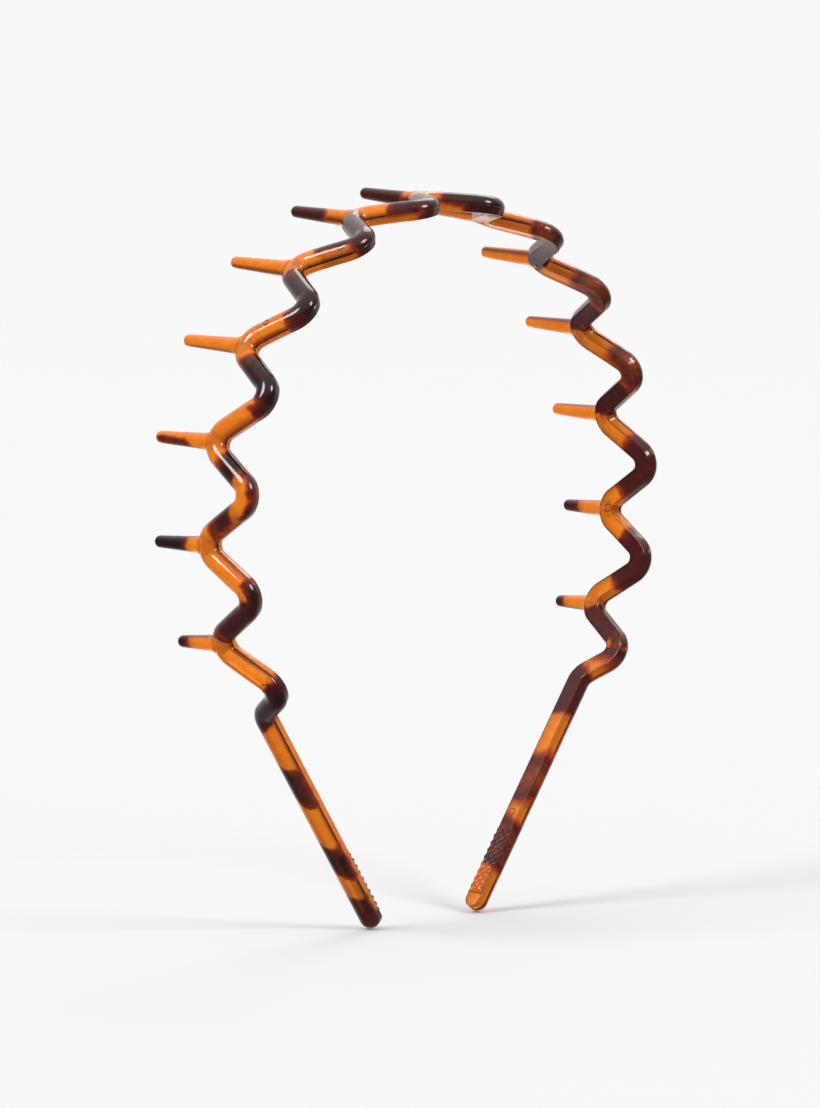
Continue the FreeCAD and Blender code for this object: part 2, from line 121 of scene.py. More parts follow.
@dataclass(frozen=True)
class Hoop:
    """The line that the band follows, with the sizes that the CAD frame has."""

    arch_radius: float = 59.0
    half_thickness: float = 1.8
    tail_angle: float = 4.95
    arm_lean: float = 36.5
    runs: int = 13
    zigzag_depth: float = 9.0
    bend_radius: float = 3.2
    arm_length: float = 55.0
    arm_step: float = 7.8
    arm_line: float = 1.5
    arc_step: float = 6.0
    line_step: float = 0.7

    @property
    def arm_angle(self) -> float:
        """Return the angle round the arch at which the straight arm begins."""
        return 90 + self.arm_lean

    @property
    def step(self) -> float:
        """Return the angle from one bend to the next."""
        return (self.arm_angle - self.tail_angle) / self.runs

    @property
    def bend_x(self) -> float:
        """Return half the distance along the hoop from one bend to the next."""
        return self.arch_radius * math.sin(math.radians(self.step / 2))

    @property
    def bend_y(self) -> float:
        """Return the distance of a bend's centre from the middle of the zigzag."""
        return self.zigzag_depth / 2 - self.bend_radius

    @property
    def tail_x(self) -> float:
        """Return the distance from the last plain bend to the end of the arch."""
        return self.arch_radius * math.sin(math.radians(self.tail_angle))

    def point(self, side: Side, angle: float, x: float, y: float, height: float,
              straight: bool = False) -> Point3:
        """Place a point that is given in a piece's own frame.

        Args:
            side: the side of the hoop.
            angle: where the piece's frame stands on the arch, from the crown.
            x: distance along the hoop, away from the crown.
            y: distance across the zigzag.
            height: distance outwards from the middle of the section.
            straight: whether the hoop leaves the arch where x passes 0.

        Returns:
            The point in metres, in the frame of the whole headband.
        """
        if straight and x > 0:
            along, out = x, self.arch_radius + height
        else:
            turn = math.asin(x / self.arch_radius)
            along = (self.arch_radius + height) * math.sin(turn)
            out = (self.arch_radius + height) * math.cos(turn)
        a = math.radians(angle)
        across = out * math.sin(a) + along * math.cos(a)
        up = out * math.cos(a) - along * math.sin(a)
        inner = self.arch_radius - self.half_thickness
        return (side.value * across * MM, y * MM, (up - inner) * MM)

    def arc(self, centre: Point2, start: float, end: float) -> list[Point2]:
        """Follow the arc of a bend.

        Args:
            centre: the bend's centre.
            start: the angle at which the arc begins.
            end: the angle at which it ends.

        Returns:
            Points along the arc, with both its ends.
        """
        count = max(2, round(abs(end - start) / self.arc_step))
        angles = [math.radians(start + (end - start) * i / count) for i in range(count + 1)]
        return [(centre[0] + self.bend_radius * math.cos(a),
                 centre[1] + self.bend_radius * math.sin(a)) for a in angles]

    def line(self, start: Point2, end: Point2) -> list[Point2]:
        """Follow a straight stretch.

        Args:
            start: where it begins.
            end: where it ends.

        Returns:
            Points inside the stretch, without its two ends.
        """
        count = max(2, round(math.dist(start, end) / self.line_step))
        return [(start[0] + (end[0] - start[0]) * i / count,
                 start[1] + (end[1] - start[1]) * i / count) for i in range(1, count)]

    @staticmethod
    def slope(rise: float, reach: float, radius: float) -> float:
        """Return the slope of the straight line that touches two bends."""
        return math.degrees(math.atan(rise / reach) + math.asin(radius / math.hypot(rise, reach)))

    def run_path(self, number: int) -> list[Point2]:
        """Follow the middle line of one run, from the bend nearer the crown.

        Args:
            number: the run, which ends at the bend of the same number.

        Returns:
            Points in the run's own frame.
        """
        slope = self.slope(self.bend_y, self.bend_x, self.bend_radius)
        first = self.arc((-self.bend_x, self.bend_y), 90, 90 - slope)
        last = self.arc((self.bend_x, -self.bend_y), 270 - slope, 270)
        path = first + self.line(first[-1], last[0]) + last
        flip = 1 if number % 2 else -1
        return [(x, flip * y) for x, y in path]

    def arm_path(self) -> list[Point2]:
        """Follow the middle line of an arm past its two bends.

        Returns:
            Points in the arm's own frame, up to where it runs straight.
        """
        plain = (-self.tail_x, -self.bend_y)
        bend = (self.arm_step - self.tail_x, self.arm_line - self.bend_radius)
        slope = self.slope(bend[1] - plain[1], self.arm_step, 2 * self.bend_radius)
        first = self.arc(plain, 270, 270 + slope)
        last = self.arc(bend, 90 + slope, 90)
        return first + self.line(first[-1], last[0]) + last


@dataclass(frozen=True)
class Section:
    """The outline across the band: a dome outside, drafted walls and a flat inside.

    A rim_shade value is painted shade: 0 in the clear middle of the plastic, and 1 at an
    edge where the wall is seen through its whole depth and is painted darkest.  flat_rims
    gives shares of half the flat inner face with their painted shade values.
    """

    width: float = 4.2
    thickness: float = 3.6
    draft: float = 11.0
    parting: float = -0.15
    groove: float = 0.09
    groove_reach: float = 1.3
    lip: float = 0.01
    edge: float = 0.22
    edge_turns: tuple[float, ...] = (-60, -30, 0)
    # flat_rims, the *_rim fields, dome_fade, far_rim and far_fade set painted shade: how dark the
    # inner face's edges, the walls, the moulding groove and the dome's sides are painted.
    flat_rims: tuple[Point2, ...] = ((0.35, 0.0), (0.75, 0.1))
    wall_rim: float = 0.1
    edge_rim: float = 0.5
    lip_rim: float = 2.2
    groove_rim: float = 3.0
    dome_points: int = 16
    dome_start: float = 7.0
    dome_fade: float = 1.8
    seam_height: float = 0.2
    far_rim: float = 0.8
    far_fade: int = 10

    @property
    def flat(self) -> float:
        """Return half the width of the flat inner face, with its rounded edges."""
        rise = self.parting + self.thickness / 2
        return self.width / 2 - rise * math.tan(math.radians(self.draft))

    def outline(self) -> list[Point3]:
        """Go once round the section.

        Returns:
            The outline's points, as (across, height, painted shade).
        """
        half, low, flat = self.width / 2, -self.thickness / 2, self.flat
        # Painted shade: each point carries a painted shade value, highest at the inner face's
        # edges, in the moulding groove and towards the sides of the dome.
        right = [(flat * share, low, rim_shade) for share, rim_shade in self.flat_rims]
        right.append((flat - self.edge, low, self.edge_rim))
        for turn in self.edge_turns:
            a = math.radians(turn)
            right.append((flat - self.edge + self.edge * math.cos(a),
                          low + self.edge + self.edge * math.sin(a), self.wall_rim))
        lip, reach = half - self.lip, self.groove_reach * self.groove
        right += [(flat + (half - flat) / 2, (low + self.parting) / 2, self.wall_rim),
                  (lip, self.parting - 2 * reach, self.wall_rim),
                  (half, self.parting - reach, self.lip_rim),
                  (half - self.groove, self.parting, self.groove_rim),
                  (lip, self.parting + reach, self.lip_rim)]
        rise, steps = self.thickness / 2 - self.parting, self.dome_points // 2
        for i in range(steps):
            a = math.radians(self.dome_start + (90 - self.dome_start) * i / steps)
            right.append((half * math.cos(a), self.parting + rise * math.sin(a),
                          math.cos(a) ** self.dome_fade))
        seam = self.parting + self.seam_height
        # Painted shade on the dome's -u half, set for one view: only a thin dark line at its very
        # edge, while the +u half darkens broadly towards its edge.
        left = [(-u, h, rim_shade if h < seam else self.far_rim * (u / half) ** self.far_fade)
                for u, h, rim_shade in reversed(right)]
        return right + [(0.0, self.thickness / 2, 0.0)] + left + [(0.0, low, 0.0)]


@dataclass(frozen=True)
class Patch:
    """One dark patch in the plastic.

    start and end are places along a piece or a side, in that pattern's own measure.
    slant shifts them across the band.  edge is the share of the width that the patch
    covers from one edge, signed by the edge, and level is -1 or 1 for a patch that
    keeps to the inner or the outer half.  warmth is 0 for a near-black patch, 0.5 for a
    burgundy one and 1 for a brown one.  soft widens the blurred border.
    """

    start: float
    end: float
    slant: float = 0.0
    edge: float = 0.0
    level: int = 0
    warmth: float = 0.0
    soft: float = 1.0


@dataclass(frozen=True)
class Mark:
    """The ring that an ejector pin leaves: its place, its radius and which face it is on."""

    place: float
    across: float
    radius: float
    outside: bool = True


@dataclass(frozen=True)
class Pattern:
    """The dark patches of one side: along the runs, along the arm and on the teeth."""

    runs: tuple[Patch, ...]
    arm: tuple[Patch, ...]
    teeth: dict[int, tuple[Patch, ...]]

    @staticmethod
    def depth(patches: tuple[Patch, ...], place: float, across: float, scale: float,
              height: float = 0.0) -> Point2:
        """Measure how far inside a dark patch a point lies.

        Args:
            patches: the patches that could hold it.
            place: its place along the piece.
            across: its place across the piece, in millimetres.
            scale: millimetres in one unit of place.
            height: its distance outwards from the middle of the section.

        Returns:
            The depth in millimetres, negative outside, and the patch's warmth.
        """
        best = (OUT_OF_PATCH, 0.0)
        for patch in patches:
            at = place - patch.slant * across / scale
            inside = min(at - patch.start, patch.end - at) * scale
            if patch.edge:
                from_middle = HALF_WIDTH * (1 - 2 * abs(patch.edge))
                reach = math.copysign(across, across * patch.edge) - from_middle
                inside = min(inside, SIDE_STEEPNESS * reach)
            if patch.level:
                reach = patch.level * height + LEVEL_OVERLAP
                inside = min(inside, SIDE_STEEPNESS * reach)
            best = max(best, (inside / patch.soft, patch.warmth))
        return best


LEFT_PATTERN = Pattern(
    runs=(
        Patch(0.35, 1.16, 0.3, warmth=0.4),
        Patch(1.08, 1.47, -0.3, level=1, warmth=0.25),
        Patch(2.10, 3.16, 0.2, warmth=0.4),
        Patch(3.05, 3.62, edge=0.72, warmth=0.25),
        Patch(4.22, 5.20, 0.3, warmth=0.2),
        Patch(5.10, 5.30, edge=-0.55, warmth=0.3),
        Patch(6.30, 7.12, -0.4, warmth=0.15),
        Patch(7.05, 7.25, edge=-0.4, warmth=0.2),
        Patch(8.33, 8.71, 0.1, warmth=0.15),
        Patch(8.72, 9.22, edge=-0.06, warmth=0.3),
        Patch(9.34, 9.72, -0.4, edge=0.85, warmth=0.35),
        Patch(10.82, 11.10, edge=-0.25, warmth=0.1),
        Patch(11.00, 11.83, -0.2, warmth=0.3),
        Patch(12.90, 15.00, 0.2, warmth=0.3),
    ),
    arm=(
        Patch(-12.0, 3.6, 0.6, warmth=0.15),
        Patch(12.9, 21.6, -1.0, level=1, warmth=0.08),
        Patch(32.5, 40.0, -0.8, level=1, warmth=0.08),
        Patch(46.2, 62.0, -0.5, level=1, warmth=0.4),
        Patch(51.6, 62.0, warmth=0.6),
    ),
    teeth={
        1: (Patch(0.42, 1.3, 0.4, warmth=0.35),),
        4: (Patch(0.42, 0.93, 0.8, edge=-0.45, warmth=0.4),),
        5: (Patch(0.30, 1.3, warmth=0.1),),
        6: (Patch(0.70, 1.3, warmth=0.2),),
    },
)
RIGHT_PATTERN = Pattern(
    runs=(
        Patch(0.30, 1.35, level=1, warmth=0.2),
        Patch(0.64, 1.35, warmth=0.25),
        Patch(2.76, 3.05, 0.2, warmth=0.85),
        Patch(2.98, 4.04, 0.1, warmth=0.35),
        Patch(4.60, 5.12, edge=-0.6, warmth=0.95, soft=2.2),
        Patch(5.24, 5.92, warmth=0.5),
        Patch(6.62, 7.14, edge=-0.6, warmth=0.9, soft=2.2),
        Patch(7.26, 7.94, warmth=0.35),
        Patch(8.60, 9.58, -0.1, warmth=0.45, soft=1.5),
        Patch(10.52, 11.52, 0.0, warmth=0.4),
        Patch(12.10, 12.78, warmth=0.55),
        Patch(12.70, 13.25, edge=-0.6, warmth=0.75),
    ),
    arm=(
        Patch(-12.0, -5.6, edge=-0.6, warmth=0.75),
        Patch(-6.4, -3.0, 0.3, warmth=0.9, soft=2.5),
        Patch(0.4, 10.2, 0.1, warmth=0.45),
        Patch(21.0, 30.4, 0.3, warmth=0.85, soft=2.4),
        Patch(35.2, 45.2, -0.4, warmth=0.75, soft=1.6),
    ),
    teeth={
        5: (Patch(0.60, 1.3, warmth=0.35),),
        6: (Patch(0.74, 1.3, warmth=0.4),),
    },
)
CROWN_PATTERN = (Patch(0.22, 1.3, warmth=0.35),)
LEFT_MARKS = (Mark(5.55, 0.2, 0.5), Mark(12.83, -0.45, 0.95))
RIGHT_MARKS = (Mark(2.74, 0.3, 0.7, False), Mark(9.98, -0.4, 0.75, False),
               Mark(12.5, 0.0, 1.1, False), Mark(13 + 33.6, 0.1, 0.75, False))


@dataclass
class Skin:
    """Points, faces and per-point values that grow into one closed mesh."""

    points: list[Point3] = field(default_factory=list)
    faces: list[tuple[int, ...]] = field(default_factory=list)
    depth: list[float] = field(default_factory=list)
    warmth: list[float] = field(default_factory=list)
    # Painted shade of each point.
    rim_shade: list[float] = field(default_factory=list)

    def add(self, point: Point3, depth: float, warmth: float, rim_shade: float) -> int:
        """Add a point.

        Args:
            point: its place in metres.
            depth: how far inside a dark patch it lies.
            warmth: that patch's warmth.
            rim_shade: its painted shade value, as Section has it.

        Returns:
            The point's number.
        """
        self.points.append(point)
        self.depth.append(depth)
        self.warmth.append(warmth)
        self.rim_shade.append(rim_shade)
        return len(self.points) - 1

    def tube(self, rings: list[list[int]], closed_tip: bool = False) -> None:
        """Join rings of points into a tube and close its two ends.

        Args:
            rings: point numbers, ring by ring.
            closed_tip: whether the last ring has shrunk to a smooth tip.
        """
        size = len(rings[0])
        for low, high in zip(rings, rings[1:]):
            for i in range(size):
                j = (i + 1) % size
                self.faces.append((low[i], low[j], high[j], high[i]))
        self.cap(rings[0][::-1])
        self.cap(rings[-1], closed_tip)

    def cap(self, ring: list[int], soft: bool = False) -> None:
        """Close a ring with a fan of triangles about its middle.

        Args:
            ring: the ring's point numbers, in the order of the new faces.
            soft: whether the middle takes on the ring's own painted shade value.
        """
        middle = tuple(sum(self.points[i][k] for i in ring) / len(ring) for k in range(3))
        share = 1 / len(ring)
        hub = self.add(middle, sum(self.depth[i] for i in ring) * share,
                       sum(self.warmth[i] for i in ring) * share,
                       self.rim_shade[ring[0]] if soft else 0.0)
        for i, j in zip(ring, ring[1:] + ring[:1]):
            self.faces.append((i, j, hub))

    def ring(self, surface: Callable[[float, float, float], Point3], radius: float,
             wire: float = 0.07, around: int = 28, sides: int = 6, rim_shade: float = 1.6) -> None:
        """Add a thin ring that is half sunk in a surface.

        Args:
            surface: turns steps along, across and out of the surface into a point.
            radius: the ring's radius.
            wire: the radius of its own section.
            around: points round the ring.
            sides: points round its section.
            rim_shade: its painted shade value, which darkens the whole ring.
        """
        # Painted shade: the ring is darkened as a whole by its painted shade value.
        grid = []
        for i in range(around):
            a = 2 * math.pi * i / around
            line = []
            for j in range(sides):
                b = 2 * math.pi * j / sides
                reach = radius + wire * math.cos(b)
                point = surface(reach * math.cos(a), reach * math.sin(a), wire * math.sin(b))
                line.append(self.add(point, OUT_OF_PATCH, 0.0, rim_shade))
            grid.append(line)
        for low, high in zip(grid, grid[1:] + grid[:1]):
            for j in range(sides):
                k = (j + 1) % sides
                self.faces.append((low[j], high[j], high[k], low[k]))

    def build(self, name: str, sharp: float = 38.0) -> bpy.types.Object:
        """Turn the skin into an object.

        Args:
            name: the piece's name.
            sharp: angle above which an edge between faces stays crisp, in degrees.

        Returns:
            The new object, at the origin, with its pattern and its painted shade as point
            attributes.
        """
        mesh = bpy.data.meshes.new(name)
        mesh.from_pydata(self.points, [], self.faces)
        if signed_volume(self.points, self.faces) < 0:
            mesh.flip_normals()
        for label, values in (("patch_depth", self.depth), ("patch_warmth", self.warmth),
                              ("rim_shade", self.rim_shade)):
            mesh.attributes.new(label, "FLOAT", "POINT").data.foreach_set("value", values)
        mesh.shade_smooth()
        mesh.set_sharp_from_angle(angle=math.radians(sharp))
        piece = bpy.data.objects.new(name, mesh)
        bpy.context.scene.collection.objects.link(piece)
        return piece


def signed_volume(points: list[Point3], faces: list[tuple[int, ...]]) -> float:
    """Measure the volume that some faces enclose.

    Args:
        points: the mesh's points.
        faces: its faces.

    Returns:
        Six times the volume, negative if the faces face in.
    """
    total = 0.0
    for face in faces:
        a = Vector(points[face[0]])
        for i, j in zip(face[1:], face[2:]):
            total += a.dot(Vector(points[i]).cross(Vector(points[j])))
    return total


class Socket:
    """A shader socket that Python's operators can calculate with."""

    def __init__(self, kit: "NodeKit", socket: bpy.types.NodeSocket) -> None:
        self.kit = kit
        self.socket = socket

    def math(self, operation: str, *others: "Socket | float") -> "Socket":
        """Return the result of one Math node on this socket and others."""
        values = dict(enumerate((self, *others)))
        return self.kit.node("ShaderNodeMath", {"operation": operation}, values)

    def __add__(self, other: "Socket | float") -> "Socket":
        """Return the sum."""
        return self.math("ADD", other)

    __radd__ = __add__

    def __mul__(self, other: "Socket | float") -> "Socket":
        """Return the product."""
        return self.math("MULTIPLY", other)

    __rmul__ = __mul__

    def __sub__(self, other: "Socket | float") -> "Socket":
        """Return the difference."""
        return self.math("SUBTRACT", other)

    def __rsub__(self, other: float) -> "Socket":
        """Return a number less this socket."""
        return self.kit.node("ShaderNodeMath", {"operation": "SUBTRACT"}, {0: other, 1: self})

    def smooth(self, low: float, high: float) -> "Socket":
        """Return 0 below low and 1 above high, with a smooth change between."""
        return self.kit.node("ShaderNodeMapRange", {"interpolation_type": "SMOOTHSTEP"},
                             {"Value": self, "From Min": low, "From Max": high})


def opaque(colour: Socket | Point3) -> Socket | tuple[float, ...]:
    """Return a plain colour with full alpha, or a socket as it is."""
    return colour if isinstance(colour, Socket) else (*colour, 1)


class NodeKit:
    """Adds nodes to one material or world."""

    def __init__(self, owner: bpy.types.Material | bpy.types.World) -> None:
        """Take over a node tree and empty it.

        Args:
            owner: the material or world that has the tree.
        """
        owner.use_nodes = True
        self.owner = owner
        self.tree = owner.node_tree
        self.tree.nodes.clear()

    def node(self, kind: str, settings: dict[str, object], values: dict[str | int, object],
             output: str | int = 0) -> Socket | None:
        """Add a node.

        Args:
            kind: its type.
            settings: its own settings, which are set first.
            values: numbers, colours or sockets by input name or number.
            output: the output that the result wraps.

        Returns:
            The wrapped output, or None from a node that has no output.
        """
        made = self.tree.nodes.new(kind)
        for key, value in settings.items():
            setattr(made, key, value)
        for key, value in values.items():
            if isinstance(value, Socket):
                self.tree.links.new(value.socket, made.inputs[key])
            else:
                made.inputs[key].default_value = value
        return Socket(self, made.outputs[output]) if len(made.outputs) else None

    def attribute(self, name: str) -> Socket:
        """Return a per-point number of the mesh."""
        return self.node("ShaderNodeAttribute", {"attribute_name": name}, {}, "Fac")

    def noise(self, where: Socket, scale: float, detail: float = 2.0,
              rough: float = 0.5) -> Socket:
        """Add soft noise.

        Args:
            where: the coordinates.
            scale: how fine it is, per metre.
            detail: how many finer layers it has.
            rough: how strong those layers are.

        Returns:
            A number from about -0.5 to 0.5.
        """
        found = self.node("ShaderNodeTexNoise", {"noise_dimensions": "3D"},
                          {"Vector": where, "Scale": scale, "Detail": detail, "Roughness": rough})
        return found - 0.5

    def mix(self, factor: Socket, first: Socket | Point3, second: Socket | Point3) -> Socket:
        """Return one colour turning into another with a factor."""
        inputs = {0: factor, 6: opaque(first), 7: opaque(second)}
        return self.node("ShaderNodeMix", {"data_type": "RGBA"}, inputs, 2)

    def finish(self, kind: str, surface: Socket) -> bpy.types.Material | bpy.types.World:
        """Give the owner its surface, by an output node of that type, and return it."""
        self.node(kind, {}, {"Surface": surface})
        return self.owner


def srgb(red: int, green: int, blue: int) -> Point3:
    """Turn a colour named by screen values into linear light.

    Args:
        red: its red, up to 255.
        green: its green.
        blue: its blue.

    Returns:
        The three channels of linear light, up to 1.
    """
    def light(value: int) -> float:
        """Return one channel as linear light."""
        share = value / 255
        return share / 12.92 if share <= 0.04045 else ((share + 0.055) / 1.055) ** 2.4
    return (light(red), light(green), light(blue))


@dataclass(frozen=True)
class Tortoiseshell:
    """Glossy amber plastic with dark patches that fade through red into the amber, and with
    painted shade that darkens the amber towards its rims.

    Noise is given per metre.  wobble is how far noise moves a patch's border, and calm
    how much of that a warm patch is spared.  softness is half the width of a border.
    """

    core: Point3 = srgb(244, 130, 18)
    honey: Point3 = srgb(252, 158, 42)
    # edge is the colour of the painted shade along the rims of the clear plastic, where the wall
    # is seen through its depth.
    edge: Point3 = srgb(78, 18, 8)
    halo: Point3 = srgb(158, 46, 8)
    burgundy: Point3 = srgb(84, 20, 14)
    black: Point3 = srgb(26, 9, 9)
    russet: Point3 = srgb(86, 22, 16)
    brown: Point3 = srgb(154, 66, 22)
    wobble: float = 1.3
    fine_wobble: float = 0.45
    calm: float = 0.75
    softness: float = 0.3
    halo_start: float = -3.2
    halo_full: float = -0.4
    patch_start: float = -1.1
    border_noise: float = 420.0
    fine_border_noise: float = 1500.0
    cloud_noise: float = 650.0
    cloud_detail: float = 4.0
    cloud_rough: float = 0.6
    cloud_gain: float = 1.6
    cloud_level: float = 0.35
    streak_noise: float = 3200.0
    # rim_start, rim_clouds and rim_streaks set where the painted shade along the rims begins and
    # how noise breaks it up.
    rim_start: float = 0.08
    rim_clouds: float = 0.2
    rim_streaks: float = 0.15
    warmth_clouds: float = 0.7
    russet_full: float = 0.55
    brown_start: float = 0.6
    burgundy_end: float = 0.2
    heart_start: float = 1.6
    ripple_noise: float = 260.0
    grain_noise: float = 5200.0
    grain: float = 0.05
    bump_strength: float = 0.25
    bump_distance: float = 0.0002
    roughness: float = 0.1
    rough_streaks: float = 0.08
    rough_clouds: float = 0.05
    ior: float = 1.49
    transmission: float = 0.55
    scatter: float = 0.25
    scatter_scale: float = 0.0007
    scatter_radius: Point3 = (1.0, 0.35, 0.12)

    def depth(self, kit: NodeKit, where: Socket) -> Socket:
        """Measure the depth in a dark patch, with borders that noise moves.

        Args:
            where: the coordinates.

        Returns:
            The depth in millimetres, negative in the amber.
        """
        wander = (kit.noise(where, self.border_noise) * (2 * self.wobble)
                  + kit.noise(where, self.fine_border_noise) * self.fine_wobble)
        wander = wander * (1 - kit.attribute("patch_warmth") * self.calm)
        return kit.attribute("patch_depth") + wander

    def amber(self, kit: NodeKit, clouds: Socket, streaks: Socket) -> Socket:
        """Colour the clear plastic, with painted shade that darkens it along its rims.

        Args:
            clouds: large soft noise.
            streaks: fine noise.

        Returns:
            The colour.
        """
        cloudy = (clouds * self.cloud_gain + self.cloud_level).smooth(0.0, 1.0)
        # Painted shade: the amber turns towards the edge colour where the mesh's painted shade
        # attribute is high.
        rim_shade = kit.attribute("rim_shade") + clouds * self.rim_clouds + streaks * self.rim_streaks
        return kit.mix(rim_shade.smooth(self.rim_start, 1.0), kit.mix(cloudy, self.core, self.honey),
                       self.edge)

    def dark(self, kit: NodeKit, depth: Socket, clouds: Socket) -> Socket:
        """Colour the dark patches, burgundy near a border and by their warmth inside.

        Args:
            depth: the depth in the patch.
            clouds: large soft noise.

        Returns:
            The colour.
        """
        warm = kit.attribute("patch_warmth") + clouds * self.warmth_clouds
        heart = kit.mix(warm.smooth(0.0, self.russet_full), self.black, self.russet)
        heart = kit.mix(warm.smooth(self.brown_start, 1.0), heart, self.brown)
        return kit.mix(depth.smooth(self.burgundy_end, self.heart_start), self.burgundy, heart)

    def build(self) -> bpy.types.Material:
        """Make the material.

        Returns:
            The material.
        """
        kit = NodeKit(bpy.data.materials.new(Look.SHELL.value))
        where = kit.node("ShaderNodeTexCoord", {}, {}, "Object")
        clouds = kit.noise(where, self.cloud_noise, self.cloud_detail, self.cloud_rough)
        streaks = kit.noise(where, self.streak_noise)
        depth = self.depth(kit, where)
        near = depth.smooth(self.halo_start * self.softness, self.halo_full * self.softness)
        tint = kit.mix(near, self.amber(kit, clouds, streaks), self.halo)
        inside = depth.smooth(self.patch_start * self.softness, self.softness)
        colour = kit.mix(inside, tint, self.dark(kit, depth, clouds))
        ripple = (kit.noise(where, self.ripple_noise)
                  + kit.noise(where, self.grain_noise) * self.grain)
        bump = kit.node("ShaderNodeBump", {}, {
            "Strength": self.bump_strength, "Distance": self.bump_distance, "Height": ripple})
        rough = streaks * self.rough_streaks + clouds * self.rough_clouds + self.roughness
        shader = kit.node("ShaderNodeBsdfPrincipled", {"subsurface_method": "RANDOM_WALK"}, {
            "Base Color": colour, "Roughness": rough, "IOR": self.ior, "Normal": bump,
            "Subsurface Weight": self.scatter, "Subsurface Radius": self.scatter_radius,
            "Subsurface Scale": self.scatter_scale, "Transmission Weight": self.transmission})
        return kit.finish("ShaderNodeOutputMaterial", shader)


@dataclass(frozen=True)
class PaleFloor:
    """A plain pale floor that fades away far from the headband, in metres."""

    colour: Point3 = (0.54, 0.54, 0.54)
    roughness: float = 0.8
    fade_start: float = 0.7
    fade_end: float = 2.4

    def build(self) -> bpy.types.Material:
        """Make the material.

        Returns:
            The material.
        """
        kit = NodeKit(bpy.data.materials.new(Look.FLOOR.value))
        where = kit.node("ShaderNodeTexCoord", {}, {}, "Object")
        away = kit.node("ShaderNodeVectorMath", {"operation": "LENGTH"}, {0: where}, "Value")
        shader = kit.node("ShaderNodeBsdfPrincipled", {}, {
            "Base Color": opaque(self.colour), "Roughness": self.roughness,
            "Specular IOR Level": 0.0, "Alpha": 1 - away.smooth(self.fade_start, self.fade_end)})
        return kit.finish("ShaderNodeOutputMaterial", shader)


@dataclass(frozen=True)
class Hinge:
    """A plain bend at which the CAD frame flexes."""

    bend: int
    parent: str
    child: str


@dataclass(frozen=True)
class Station:
    """One place along a piece at which its section stands.

    spot is a point of the middle line and across the direction across the band there.
    place is counted as the piece's patches are, and scale shrinks the section.
    """

    spot: Point2
    across: Point2
    place: float
    scale: float = 1.0


